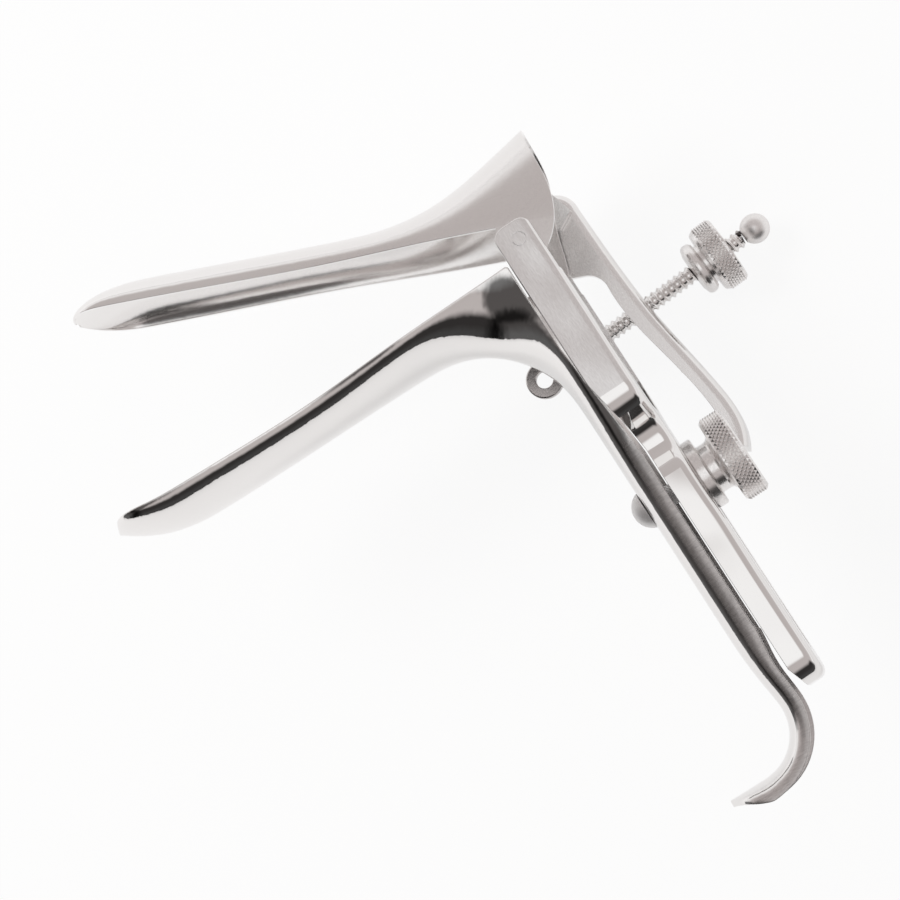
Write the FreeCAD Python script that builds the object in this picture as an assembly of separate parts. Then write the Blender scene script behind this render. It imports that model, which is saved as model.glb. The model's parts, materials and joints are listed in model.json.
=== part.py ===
"""Bivalve speculum: two trough blades on a forked yoke, with a thumb lever, a threaded rod and two knurled nuts.

All lengths are in millimetres. The pieces are drawn in the instrument's own frame: the origin is the middle of the
hinge axis, X runs back from the blades to the nuts, Y runs up the handle, and Z runs along the hinge from the far arm,
which carries the lever and the rod, to the near arm. The finished pieces are then laid on their far side, as the
instrument is put down on a tray, with +Z up and the origin under the middle of the whole.
"""
import FreeCAD, Part
import math
import os

Vec = FreeCAD.Vector
X_AXIS = Vec(1, 0, 0)
Y_AXIS = Vec(0, 1, 0)
Z_AXIS = Vec(0, 0, 1)

# Clearances and margins
RUNNING_FIT = 0.05            # radial, pins and studs in their holes
SIDE_GAP = 0.4                # between pieces that slide or turn past each other
CUT_MARGIN = 1.0              # how far a cutting tool stands out past what it cuts
FAR_AWAY = 300.0              # larger than the whole instrument

# Sheet
BLADE_SHEET = 1.1
YOKE_SHEET = 1.2
LEVER_SHEET = 1.6

# Fullness of the bent sections: how far up the walls and out along the crown their curves hold
ROUND_ARCH = 0.55
SQUARE_ARCH = 0.75

# Yoke: two arms, a waist and a channel handle
ARM_OUTER = 19.5              # half the width over the arms
ARM_FRONT = -5.2
ARM_TOP = 4.5
ARM_CORNER = 3.0
ARM_EDGE = 0.4                # rounding of the arms' outer edges
ARM_TAPER_TOP = -36.0
YOKE_REAR = 4.4               # rear face of the web
WAIST_OUTER = 9.6
WAIST_TOP = -41.0
WAIST_Y = -55.5
HANDLE_OUTER = 12.4
HANDLE_TOP = -63.0
HANDLE_FRONT = -2.2
HANDLE_BOTTOM = -118.6
HANDLE_CORNER = 7.0
WINDOW_TAPER_TOP = -36.0
WINDOW_BOTTOM = -46.5
REAR_ROUND = 2.2              # outside radius of the sheet's bend along its rear edges
YOKE_BLOCK_FRONT = -30.0
S_STEEPNESS = 2.0             # steepest slope of the waist's S curves, against their mean
ARM_LIP = 3.0                 # width of the web left along each arm
ARM_LIP_TOP = -10.5           # the web ends here, clear of the blade's ears

# Slot and lock screw
STUD_Y = -65.5
STUD_RADIUS = 2.5
STUD_HEAD_RADIUS = 4.6
STUD_HEAD_HEIGHT = 3.4
SLOT_TRAVEL = 44.0
LOCK_FLANGE_RADIUS = 8.6
LOCK_FLANGE = 2.5
LOCK_NECK_RADIUS = 6.0
LOCK_NECK = 3.6
LOCK_KNOB_RADIUS = 10.9
LOCK_KNOB = 6.0
LOCK_CHAMFER = 0.7
LOCK_NECK_FILLET = 1.4        # where the neck runs out into the knob

# Upper blade, in its own frame: A runs from the hinge to the tip, N up from the hinge
OPENING_ANGLE = 23.7          # of the upper blade in the photographed pose
UPPER_LENGTH = 114.6
UPPER_RIM = 3.87              # height of the rim's plane over the hinge axis
UPPER_CROWN = 11.6
FLARE_START = 40.0            # where the crown leaves its straight run
FLARE_RADIUS = 49.0
FLARE_ANGLE = 34.6
TIP_DROP_RADIUS = 31.0        # of the crown, seen from the side
TIP_DROP_LENGTH = 20.0
TIP_ROUND_LENGTH = 12.0       # of the rounded end, seen from above
TIP_BLUNT = 0.12              # the end stops this far short of the full round
TIP_STEPS = (19.0, 14.0, 10.5, 7.5, 5.0, 2.8, 1.2, 0.0)
BILL_HALF_WIDTH = 15.6
NEAR_MOUTH = ((-1.4, 32.0), (-1.9, 30.0), (-5.8, 19.1), (-8.2, 11.6), (-8.6, 4.9), (-6.6, -1.2), (-3.9, -4.6))
FAR_MOUTH = ((-1.4, 32.0), (-1.9, 30.0), (-4.4, 21.0), (-4.3, 14.0), (-4.4, 8.0), (-5.2, 2.0), (-5.3, -5.0))
EAR_LAP = 0.3                 # how far the ear runs up the flare's wall
EAR_HEEL = (8.0, -4.5)
HINGE_HALF_WIDTH = ARM_OUTER - YOKE_SHEET - SIDE_GAP    # outside of the flare's walls and ears
UPPER_TIP_DEPTH = 1.4         # from rim to crown at the very tip
EAR_RADIUS = 5.2
EAR_SHEET = 1.4
HINGE_PIN_RADIUS = 1.6
PIN_HEAD_RADIUS = 2.6
PIN_HEAD = 1.0

# Lower blade, handle strip and hook
LOWER_TIP_X = -120.7
LOWER_CROWN_Y = -9.3
LOWER_RIM = ((-124.0, 1.3), (-120.7, 0.9), (-114.1, -0.3), (-107.0, -1.7), (-95.0, -2.6), (-73.0, -3.3), (-45.0, -3.3))
LOWER_TIP_RADIUS = 36.0       # of the crown at the tip, seen from the side
TIP_TURN = 36.0
BILL_RUN = 40.0               # gently rising run behind the tip
BILL_TURN = 2.3
LOWER_STEPS = (6, 4, 3, 9, 6, 3, 6, 3)
LOWER_BEND_RADIUS = 28.0
STRIP_FRONT = -10.0
STRIP_REAR = -3.4
STRIP_HALF_WIDTH = 11.5
FLARE_REAR = -5.7             # rear edge of the lower flare, just in front of the arms
FLARE_CORNER = 0.8
FLARE_HALF_WIDTH = 18.4
FLARE_SIDE_END = -26.0        # where the flare's rear edge starts to run out to the strip's
STRIP_SIDE_START = -52.0
RIM_TRIM = 0.4                # sheet left over the rim line, which the trim takes off
HOOK_TIP_DEPTH = 1.6
HOOK_ROUND_LENGTH = 8.5
HOOK_STEPS = (1.0, 0.7, 0.42, 0.2, 0.0)
BEND_TRIM = 6.0               # and in the bend, where the flare's corner stands out
HOOK_START_Y = -101.5         # the strip leans back from here to the hook
HOOK_BACK_RADIUS = 93.0
HOOK_BACK_ANGLE = 10.0
HOOK_RADIUS = 11.4
HOOK_ANGLE = 100.0
HOOK_TIP = 9.7
HOOK_DEPTH = 5.1
HOOK_THINNING = 12.0          # run over which the strip's depth goes down to the hook's

# Thumb lever
LEVER_INNER = ARM_OUTER + SIDE_GAP
LEVER_WIDTH = 12.5            # of the web, along the hinge
LEVER_LIP = 4.5               # of the web above its wide part
LEVER_LIP_END = -7.0
LEVER_BEND = 2.5              # outside radius between side plate and web
LEVER_HUB = 6.2
LEVER_HUB_TOP = (-4.4, 4.4)
LEVER_TOP = ((4.0, 16.5), (9.5, 16.5), (13.2, 14.6), (14.8, 9.7))
LEVER_REAR = ((14.8, 9.7), (15.2, -6.0), (16.3, -22.0), (18.3, -36.0), (19.7, -46.0), (20.0, -56.0), (17.4, -63.0))
LEVER_PAD_FRONT = ((15.2, -61.6), (15.5, -52.0), (14.2, -40.2))
LEVER_NOTCH = (13.9, -39.0)
LEVER_BAR_FRONT = ((13.9, -38.6), (12.4, -31.0), (10.9, -23.0), (10.3, -12.0))
CUT_OUT_CORNER = ((10.3, -12.0), (9.6, -8.3), (7.0, -6.0))
CUT_OUT_START = 4.0           # where the cut-out leaves the hub
LEVER_SLOT_LENGTH = 9.0
LEVER_SLOT_CLEARANCE = 0.6
BOSS_OUTLINE = ((2.5, 8.0), (5.0, 15.5), (11.0, 15.5), (13.0, 9.0), (8.5, 6.6))
BOSS_INNER = -10.0            # inside the flare, before the flare's shape is cut from it

# Threaded rod, in its own frame: along the rod from the pivot in the lug
ROD_PIVOT = (-4.5, -20.7)
ROD_Z = -25.6
ROD_REST_TILT = 2.5
ROD_RADIUS = 2.3
ROD_NECK_RADIUS = 1.7
NECK_END = 5.5
EYE_CENTRE = -10.7
EYE_OUTER = 4.65
EYE_HOLE = 2.2
EYE_THICKNESS = 2.4
BALL_CENTRE = 52.3
BALL_RADIUS = 3.7
NUT_FRONT = 34.0
NUT_COLLAR_RADIUS = 6.8
NUT_COLLAR = 3.4
NUT_GROOVE_RADIUS = 5.2
NUT_GROOVE = 0.8
NUT_KNOB_RADIUS = 8.9
NUT_KNOB = 6.2
NUT_CHAMFER = 1.0
LUG_SHEET = 1.4
LUG_HALF_HEIGHT = 5.5
LUG_REACH = 5.2

# How the instrument lies on its far side
LIE_PITCH = 8.7               # about Y
LIE_ROLL = -6.7               # about X


def box(x0, x1, y0, y1, z0, z1):
    """A block between two corners."""
    return Part.makeBox(x1 - x0, y1 - y0, z1 - z0, Vec(x0, y0, z0))


def rod_between(radius, start, end):
    """A round bar from one point to another."""
    run = end.sub(start)
    return Part.makeCylinder(radius, run.Length, start, run)


def prism(points, z0, z1):
    """A straight-sided slab over an outline in the XY plane."""
    wire = Part.makePolygon([Vec(x, y, z0) for x, y in points] + [Vec(points[0][0], points[0][1], z0)])
    return Part.Face(wire).extrude(Vec(0, 0, z1 - z0))


def rounded(solid, radius, chosen):
    """Round the edges that a test picks out by their middle point and direction."""
    edges = [e for e in solid.Edges if chosen(e.CenterOfMass, e)]
    return solid.makeFillet(radius, edges) if edges else solid


def along_z(edge):
    """True for a straight edge that runs along Z."""
    ends = [v.Point for v in edge.Vertexes]
    return len(ends) == 2 and abs(abs(ends[1].z - ends[0].z) - edge.Length) < 1e-6


def arch_poles(place, half_width, depth, fullness):
    """Poles of an arched section: up one wall, over the crown and down the other."""
    shoulder = fullness * half_width
    return [place(half_width, 0), place(half_width, fullness * depth), place(shoulder, depth),
            place(-shoulder, depth), place(-half_width, fullness * depth), place(-half_width, 0)]


def skin(sections):
    """Smooth surface that a row of arched sections pulls into shape; U runs along, V across."""
    spans = len(sections) - 3
    along = ([4] + [1] * (spans - 1) + [4], [float(i) for i in range(spans + 1)])
    across = ([4, 2, 4], [0.0, 0.5, 1.0])
    surface = Part.BSplineSurface()
    surface.buildFromPolesMultsKnots(sections, along[0], across[0], along[1], across[1], False, False, 3, 3)
    return surface


def end_curves(surface):
    """The surface's two long edges and its two end edges."""
    u0, u1, v0, v1 = surface.bounds()
    return [surface.vIso(v0).toShape(), surface.vIso(v1).toShape(),
            surface.uIso(u0).toShape(), surface.uIso(u1).toShape()]


def closed_solid(faces):
    """One solid from faces that share their edges."""
    shell = Part.makeShell(faces)
    shell.sewShape()
    solid = Part.makeSolid(shell)
    if solid.Volume < 0:
        solid.reverse()
    return solid


def bent_sheet(rows, sheet):
    """Sheet of even thickness from rows of (place, half width, depth, fullness)."""
    outer = skin([arch_poles(*row) for row in rows])
    inner = skin([arch_poles(place, w - sheet, d - sheet, f) for place, w, d, f in rows])
    rims = [Part.makeRuledSurface(a, b) for a, b in zip(end_curves(outer), end_curves(inner))]
    return closed_solid([outer.toShape(), inner.toShape()] + rims)


def bent_solid(rows):
    """The same shape filled in down to its rim."""
    outer = skin([arch_poles(*row) for row in rows])
    left, right, first, last = end_curves(outer)
    base = Part.makeRuledSurface(left, right)
    ends = [Part.Face(Part.Wire([edge, Part.makeLine(edge.valueAt(edge.LastParameter),
                                                     edge.valueAt(edge.FirstParameter))])) for edge in (first, last)]
    return closed_solid([outer.toShape(), base] + ends)


def blend(value, stations):
    """Read a size from (position, size) stations, with a smooth step between neighbours."""
    if value <= stations[0][0]:
        return stations[0][1]
    for (p0, s0), (p1, s1) in zip(stations, stations[1:]):
        if value <= p1:
            share = (value - p0) / (p1 - p0)
            return s0 + (s1 - s0) * share * share * (3 - 2 * share)
    return stations[-1][1]


def tip_width(half_width, back, round_length):
    """Half width of a rounded end at a distance back from its tip."""
    if back >= round_length:
        return half_width
    share = 1 - max(back, TIP_BLUNT) / round_length
    return half_width * math.sqrt(1 - share * share)


def upper_crown(a):
    """Height of the upper blade's crown: a flat run, an arc and a straight flare, and a drop at the tip."""
    flare_run = FLARE_RADIUS * math.sin(math.radians(FLARE_ANGLE))
    from_start = FLARE_START - a
    if from_start > flare_run:
        rise = FLARE_RADIUS * (1 - math.cos(math.radians(FLARE_ANGLE)))
        return UPPER_CROWN + rise + (from_start - flare_run) * math.tan(math.radians(FLARE_ANGLE))
    if from_start > 0:
        return UPPER_CROWN + FLARE_RADIUS - math.sqrt(FLARE_RADIUS ** 2 - from_start ** 2)
    into_drop = a - (UPPER_LENGTH - TIP_DROP_LENGTH)
    if into_drop > 0:
        return UPPER_CROWN - TIP_DROP_RADIUS + math.sqrt(TIP_DROP_RADIUS ** 2 - into_drop ** 2)
    return UPPER_CROWN


def upper_half_width(a):
    """Half the upper blade's width: slim in the middle, wider at the bill and at the flare."""
    half_width = blend(a, [(14, HINGE_HALF_WIDTH), (55, 14.3), (92, BILL_HALF_WIDTH)])
    return tip_width(half_width, UPPER_LENGTH - a, TIP_ROUND_LENGTH)


def upper_stations():
    """Where the upper blade's sections stand, closer together where it curves."""
    flare = [-16, -9, -2, 5, 11, 17, 23, 29, 35, 42, 50, 60, 70, 80, 88]
    return flare + [UPPER_LENGTH - back for back in TIP_STEPS]


def upper_rows():
    """The upper blade's sections in its own frame, with A along -X."""
    rows = []
    for a in upper_stations():
        depth = max(upper_crown(a) - UPPER_RIM, UPPER_TIP_DEPTH)
        place = lambda z, h, a=a: Vec(-a, UPPER_RIM + h, z)
        rows.append((place, upper_half_width(a), depth, ROUND_ARCH))
    return rows


def mouth_trim(edge, side):
    """Slab that ends one side of the flare behind its rear edge, in the upper blade's frame."""
    curve = Part.BSplineCurve()
    curve.interpolate([Vec(-a, n, 0) for a, n in edge])
    corners = [curve.EndPoint, Vec(curve.EndPoint.x, -FAR_AWAY, 0), Vec(FAR_AWAY, -FAR_AWAY, 0),
               Vec(FAR_AWAY, FAR_AWAY, 0), Vec(curve.StartPoint.x, FAR_AWAY, 0), curve.StartPoint]
    edges = [curve.toShape()] + [Part.makeLine(a, b) for a, b in zip(corners, corners[1:])]
    return Part.Face(Part.Wire(edges)).extrude(Vec(0, 0, side * FAR_AWAY))


def open_up(shape):
    """Turn a piece of the upper blade's frame to the photographed opening."""
    shape.rotate(Vec(0, 0, 0), Z_AXIS, -OPENING_ANGLE)
    return shape


def ear(side):
    """Flat pivot ear inside one arm, from the hinge up into the flare's wall."""
    z_out = HINGE_HALF_WIDTH
    z_in = HINGE_HALF_WIDTH - EAR_SHEET
    disc = Part.makeCylinder(EAR_RADIUS, EAR_SHEET, Vec(0, 0, z_in), Z_AXIS)
    top = UPPER_RIM + EAR_LAP
    neck = [(-EAR_RADIUS, 0), (-EAR_RADIUS, top), (FAR_AWAY, top), (FAR_AWAY, 0), (EAR_HEEL[0], EAR_HEEL[1])]
    plate = disc.fuse(prism(neck, z_in, z_out))
    return plate if side > 0 else plate.mirror(Vec(0, 0, 0), Z_AXIS)


def upper_blade():
    """Upper blade: bent sheet with an ear on each side, ended at the mouth's curved rear edge."""
    blade = bent_sheet(upper_rows(), BLADE_SHEET)
    for side in (1, -1):
        blade = blade.fuse(ear(side))
    blade = blade.cut(mouth_trim(NEAR_MOUTH, 1)).cut(mouth_trim(FAR_MOUTH, -1))
    bore = Part.makeCylinder(HINGE_PIN_RADIUS + RUNNING_FIT, FAR_AWAY, Vec(0, 0, -FAR_AWAY / 2), Z_AXIS)
    return open_up(blade.cut(bore).removeSplitter())


def lower_path():
    """The lower piece's crown line from the blade's tip: its start and its runs as (length, turn in degrees)."""
    heading = TIP_TURN + BILL_TURN
    tip_reach = LOWER_TIP_RADIUS * (math.sin(math.radians(heading)) - math.sin(math.radians(BILL_TURN)))
    bill_radius = BILL_RUN / math.radians(BILL_TURN)
    bill_reach = bill_radius * math.sin(math.radians(BILL_TURN))
    straight = STRIP_FRONT - LOWER_BEND_RADIUS - LOWER_TIP_X - tip_reach - bill_reach
    tip_rise = LOWER_TIP_RADIUS * (math.cos(math.radians(BILL_TURN)) - math.cos(math.radians(heading)))
    bill_rise = bill_radius * (1 - math.cos(math.radians(BILL_TURN)))
    start = (LOWER_TIP_X, LOWER_CROWN_Y + tip_rise + bill_rise, -heading)
    runs = [
        (LOWER_TIP_RADIUS * math.radians(TIP_TURN), TIP_TURN),
        (BILL_RUN, BILL_TURN),
        (straight, 0),
        (LOWER_BEND_RADIUS * math.radians(90), -90),
        (LOWER_CROWN_Y - LOWER_BEND_RADIUS - HOOK_START_Y, 0),
        (HOOK_BACK_RADIUS * math.radians(HOOK_BACK_ANGLE), HOOK_BACK_ANGLE),
        (HOOK_RADIUS * math.radians(HOOK_ANGLE), -HOOK_ANGLE),
        (HOOK_TIP, 0),
    ]
    return start, runs


def walk(start, runs, distance):
    """Point and heading angle at a distance along the runs."""
    x, y, heading = start
    for length, turn in runs:
        part = min(distance, length)
        if turn == 0:
            x += part * math.cos(math.radians(heading))
            y += part * math.sin(math.radians(heading))
        else:
            radius = length / math.radians(turn)
            new = heading + turn * part / length
            x += radius * (math.sin(math.radians(new)) - math.sin(math.radians(heading)))
            y -= radius * (math.cos(math.radians(new)) - math.cos(math.radians(heading)))
            heading = new
        distance -= part
        if distance <= 0:
            break
    return x, y, heading


def lower_stations(runs):
    """Distances of the lower sections, closer together in the bends."""
    whole = sum(length for length, _ in runs)
    stations = [back for back in reversed(TIP_STEPS)]
    start = 0.0
    for (length, _), count in zip(runs, LOWER_STEPS):
        stations += [start + length * (i + 1) / count for i in range(count)]
        start += length
    stations = [s for s in stations[:len(TIP_STEPS)]] + [s for s in stations[len(TIP_STEPS):]
                                                         if TIP_STEPS[0] + 1 < s < whole - HOOK_ROUND_LENGTH - 1]
    return stations + [whole - HOOK_ROUND_LENGTH * share for share in HOOK_STEPS]


def rim_height(x):
    """Height of the lower blade's rim line."""
    if x <= LOWER_RIM[0][0]:
        return LOWER_RIM[0][1]
    for (x0, y0), (x1, y1) in zip(LOWER_RIM, LOWER_RIM[1:]):
        if x <= x1:
            return y0 + (y1 - y0) * (x - x0) / (x1 - x0)
    return LOWER_RIM[-1][1]


def rim_distance(x, y, up):
    """How far the rim line is from a point of the crown, straight up the section."""
    reaches = []
    if up.y > 0.05:
        reach = 0.0
        for _ in range(12):
            reach = (rim_height(x + reach * up.x) - y) / up.y
        reaches.append(reach)
    if up.x > 0.05 and y < LOWER_CROWN_Y:
        share = min(max((FLARE_SIDE_END - y) / (FLARE_SIDE_END - STRIP_SIDE_START), 0), 1)
        rear = FLARE_REAR + (STRIP_REAR - FLARE_REAR) * share
        reaches.append((rear - x) / up.x)
    return min(reaches, default=0.0)


def lower_sizes(runs, s, to_rim):
    """Half width, depth and fullness of the lower section at a distance from the tip."""
    ends = [sum(length for length, _ in runs[:i + 1]) for i in range(len(runs))]
    bend, strip, hook_back, hook, tip = ends[2], ends[3], ends[4], ends[6], ends[7]
    middle_of_bend = (bend + strip) / 2
    depth = to_rim + blend(s, [(bend, RIM_TRIM), (middle_of_bend, BEND_TRIM), (strip, RIM_TRIM)])
    if s > hook_back:
        depth = blend(s, [(hook_back, STRIP_REAR - STRIP_FRONT), (hook_back + HOOK_THINNING, HOOK_DEPTH),
                          (hook, HOOK_DEPTH), (tip, HOOK_TIP_DEPTH)])
    half_width = blend(s, [
        (28, BILL_HALF_WIDTH), (58, 14.4), (middle_of_bend - 5, FLARE_HALF_WIDTH),
        (middle_of_bend + 12, FLARE_HALF_WIDTH), (strip + 22, STRIP_HALF_WIDTH)])
    half_width = tip_width(half_width, s, TIP_ROUND_LENGTH)
    half_width = tip_width(half_width, tip - s, HOOK_ROUND_LENGTH)
    fullness = blend(s, [(middle_of_bend, ROUND_ARCH), (strip + 22, SQUARE_ARCH)])
    return half_width, depth, fullness


def lower_rows():
    """Sections of blade, flare, handle strip and hook, before they are trimmed."""
    start, runs = lower_path()
    rows = []
    for s in lower_stations(runs):
        x, y, heading = walk(start, runs, s)
        up = Vec(-math.sin(math.radians(heading)), math.cos(math.radians(heading)), 0)
        half_width, depth, fullness = lower_sizes(runs, s, rim_distance(x, y, up))
        place = lambda z, h, x=x, y=y, up=up, d=depth: Vec(x, y, z) + up * (d - h)
        rows.append((place, half_width, depth, fullness))
    return rows


def lower_side_outline():
    """Slab over the side view that the lower sheet may fill: its rim line and the flare's rear corner."""
    level = LOWER_RIM[-1][1]
    corner_x, corner_y = FLARE_REAR - FLARE_CORNER, level - FLARE_CORNER
    mid = FLARE_CORNER * math.sqrt(0.5)
    rim = Part.BSplineCurve()
    rim.interpolate([Vec(x, y, 0) for x, y in LOWER_RIM])
    first = rim.StartPoint
    corners = [Vec(FLARE_REAR, corner_y, 0), Vec(FLARE_REAR, FLARE_SIDE_END, 0), Vec(STRIP_REAR, STRIP_SIDE_START, 0),
               Vec(STRIP_REAR, HOOK_START_Y, 0), Vec(FAR_AWAY, HOOK_START_Y, 0), Vec(FAR_AWAY, -FAR_AWAY, 0),
               Vec(-FAR_AWAY, -FAR_AWAY, 0), Vec(-FAR_AWAY, first.y, 0), first]
    edges = [rim.toShape(), Part.makeLine(rim.EndPoint, Vec(corner_x, level, 0)),
             Part.Arc(Vec(corner_x, level, 0), Vec(corner_x + mid, corner_y + mid, 0), corners[0]).toShape()]
    edges += [Part.makeLine(a, b) for a, b in zip(corners, corners[1:])]
    face = Part.Face(Part.Wire(edges))
    face.translate(Vec(0, 0, -FAR_AWAY))
    return face.extrude(Vec(0, 0, 2 * FAR_AWAY))


def lower_blade():
    """Lower blade with its handle strip and hook, and the hole for the lock stud."""
    sheet = bent_sheet(lower_rows(), BLADE_SHEET).common(lower_side_outline())
    hole = rod_between(STUD_RADIUS, Vec(STRIP_FRONT - 5, STUD_Y, 0), Vec(STRIP_REAR, STUD_Y, 0))
    return sheet.cut(hole)


def s_edges(start, end):
    """S-shaped run that leaves and arrives along Y: an arc, a straight and an arc."""
    (z0, y0), (z1, y1) = start, end
    across, down = abs(z1 - z0), abs(y1 - y0)
    angle = math.atan(S_STEEPNESS * across / down)
    radius = (down * math.sin(angle) - across * math.cos(angle)) / (2 * (1 - math.cos(angle)))
    side, way = math.copysign(1, z1 - z0), math.copysign(1, y1 - y0)
    turned = lambda a: (radius * (1 - math.cos(a)) * side, radius * math.sin(a) * way)
    points = []
    for a in (0, angle / 2, angle):
        dz, dy = turned(a)
        points.append(Vec(0, y0 + dy, z0 + dz))
    for a in (angle, angle / 2, 0):
        dz, dy = turned(a)
        points.append(Vec(0, y1 - dy, z1 - dz))
    return [Part.Arc(*points[:3]).toShape(), Part.makeLine(points[2], points[3]), Part.Arc(*points[3:]).toShape()]


def yoke_plan():
    """Outline of the yoke's rear view, along its outer faces."""
    bottom = HANDLE_BOTTOM
    bend = HANDLE_CORNER * (1 - math.sqrt(0.5))
    near = [Part.makeLine(Vec(0, ARM_TOP, ARM_OUTER), Vec(0, WAIST_TOP, ARM_OUTER))]
    near += s_edges((ARM_OUTER, WAIST_TOP), (WAIST_OUTER, WAIST_Y))
    near += s_edges((WAIST_OUTER, WAIST_Y), (HANDLE_OUTER, HANDLE_TOP))
    near += [
        Part.makeLine(Vec(0, HANDLE_TOP, HANDLE_OUTER), Vec(0, bottom + HANDLE_CORNER, HANDLE_OUTER)),
        Part.Arc(Vec(0, bottom + HANDLE_CORNER, HANDLE_OUTER), Vec(0, bottom + bend, HANDLE_OUTER - bend),
                 Vec(0, bottom, HANDLE_OUTER - HANDLE_CORNER)).toShape(),
    ]
    far = [e.mirror(Vec(0, 0, 0), Z_AXIS) for e in near]
    half = HANDLE_OUTER - HANDLE_CORNER
    base = Part.makeLine(Vec(0, bottom, half), Vec(0, bottom, -half))
    top = Part.makeLine(Vec(0, ARM_TOP, ARM_OUTER), Vec(0, ARM_TOP, -ARM_OUTER))
    return Part.Wire(Part.__sortEdges__(near + [base] + far + [top]))


def yoke_block(wire, rear, radius):
    """The yoke's plan as a solid block up to a rear face, with that face's long edges rounded."""
    block = Part.Face(wire).extrude(Vec(rear - YOKE_BLOCK_FRONT, 0, 0))
    block.translate(Vec(YOKE_BLOCK_FRONT, 0, 0))
    on_rear = lambda e: abs(e.BoundBox.XMin - rear) < 1e-3 and abs(e.BoundBox.XMax - rear) < 1e-3
    not_top = lambda c, e: on_rear(e) and abs(c.z) > HANDLE_CORNER * 0.1 or on_rear(e) and c.y < HANDLE_TOP
    return rounded(block, radius, not_top)


def yoke_side_trim():
    """Side view of the yoke: arm ends with rounded corners, and a front edge that steps back to the handle."""
    outline = [(YOKE_REAR, ARM_TOP), (ARM_FRONT, ARM_TOP), (ARM_FRONT, ARM_TAPER_TOP),
               (HANDLE_FRONT - 0.6, -49), (HANDLE_FRONT, -55), (HANDLE_FRONT, HANDLE_BOTTOM + 5),
               (HANDLE_FRONT + 1.6, HANDLE_BOTTOM), (YOKE_REAR, HANDLE_BOTTOM)]
    slab = prism(outline, -FAR_AWAY, FAR_AWAY)
    corner = lambda c, e: along_z(e) and c.y > ARM_TOP - 1
    return rounded(slab, ARM_CORNER, corner)


def window():
    """Opening between the arms: straight sides inside the arms and a round bottom on the waist."""
    half = ARM_OUTER - ARM_LIP
    low = WAIST_OUTER - ARM_LIP
    cut = box(-FAR_AWAY, FAR_AWAY, WINDOW_TAPER_TOP, FAR_AWAY, -half, half)
    inside = ARM_OUTER - YOKE_SHEET
    cut = cut.fuse(box(-FAR_AWAY, FAR_AWAY, ARM_LIP_TOP, FAR_AWAY, -inside, inside))
    bottom = Part.makeLoft([
        Part.makePolygon([Vec(-20, WINDOW_TAPER_TOP, -half), Vec(-20, WINDOW_TAPER_TOP, half), Vec(20, WINDOW_TAPER_TOP, half), Vec(20, WINDOW_TAPER_TOP, -half),
                          Vec(-20, WINDOW_TAPER_TOP, -half)]),
        Part.makePolygon([Vec(-20, WINDOW_BOTTOM, -low), Vec(-20, WINDOW_BOTTOM, low), Vec(20, WINDOW_BOTTOM, low),
                          Vec(20, WINDOW_BOTTOM, -low), Vec(-20, WINDOW_BOTTOM, -low)])], True, True)
    return cut.fuse(bottom)


def slot():
    """Slot in the handle's web, which the lock stud stands in."""
    half = STUD_RADIUS + 2 * RUNNING_FIT
    top = STUD_Y
    bottom = STUD_Y - SLOT_TRAVEL
    cut = box(-1, YOKE_REAR + 1, bottom, top, -half, half)
    for y in (top, bottom):
        cut = cut.fuse(rod_between(half, Vec(-1, y, 0), Vec(YOKE_REAR + 1, y, 0)))
    return cut


def yoke():
    """Yoke: one sheet bent to a channel, cut by the window and the slot, with pin holes in its arms."""
    plan = yoke_plan()
    outer = yoke_block(plan, YOKE_REAR, REAR_ROUND)
    inner = yoke_block(plan.makeOffset2D(-YOKE_SHEET, 2), YOKE_REAR - YOKE_SHEET, REAR_ROUND - YOKE_SHEET)
    above = box(-FAR_AWAY, YOKE_REAR - YOKE_SHEET, 0, FAR_AWAY, -ARM_OUTER + YOKE_SHEET, ARM_OUTER - YOKE_SHEET)
    frame = outer.cut(inner).cut(above).common(yoke_side_trim())
    frame = frame.cut(window()).cut(slot())
    on_arm = lambda c, e: abs(abs(c.z) - ARM_OUTER) < 1e-2 and e.BoundBox.ZLength < 1e-3
    ahead = lambda c, e: on_arm(c, e) and e.BoundBox.YMax > 0 and c.x < YOKE_REAR - REAR_ROUND - ARM_EDGE / 2
    frame = rounded(frame, ARM_EDGE, ahead)
    bore = rod_between(HINGE_PIN_RADIUS, Vec(0, 0, -FAR_AWAY), Vec(0, 0, FAR_AWAY))
    return frame.cut(bore)


def near_hinge_pin():
    """Rivet through the near arm and ear: flush outside, with a low head inside."""
    inner_face = HINGE_HALF_WIDTH - EAR_SHEET - RUNNING_FIT
    shank = rod_between(HINGE_PIN_RADIUS, Vec(0, 0, inner_face), Vec(0, 0, ARM_OUTER))
    head = rod_between(PIN_HEAD_RADIUS, Vec(0, 0, inner_face - PIN_HEAD), Vec(0, 0, inner_face))
    return shank.fuse(head)


def far_hinge_pin():
    """Longer rivet on the far side, through ear, arm and lever."""
    inner_face = -(HINGE_HALF_WIDTH - EAR_SHEET - RUNNING_FIT)
    outer_face = -(LEVER_INNER + LEVER_SHEET)
    shank = rod_between(HINGE_PIN_RADIUS, Vec(0, 0, outer_face), Vec(0, 0, inner_face))
    head = rod_between(PIN_HEAD_RADIUS, Vec(0, 0, inner_face), Vec(0, 0, inner_face + PIN_HEAD))
    return shank.fuse(head)


def spline(points):
    """Smooth curve through points of the XY plane."""
    curve = Part.BSplineCurve()
    curve.interpolate([Vec(x, y, 0) for x, y in points])
    return curve.toShape()


def line(start, end):
    """Straight edge between two points of the XY plane."""
    return Part.makeLine(Vec(start[0], start[1], 0), Vec(end[0], end[1], 0))


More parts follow.
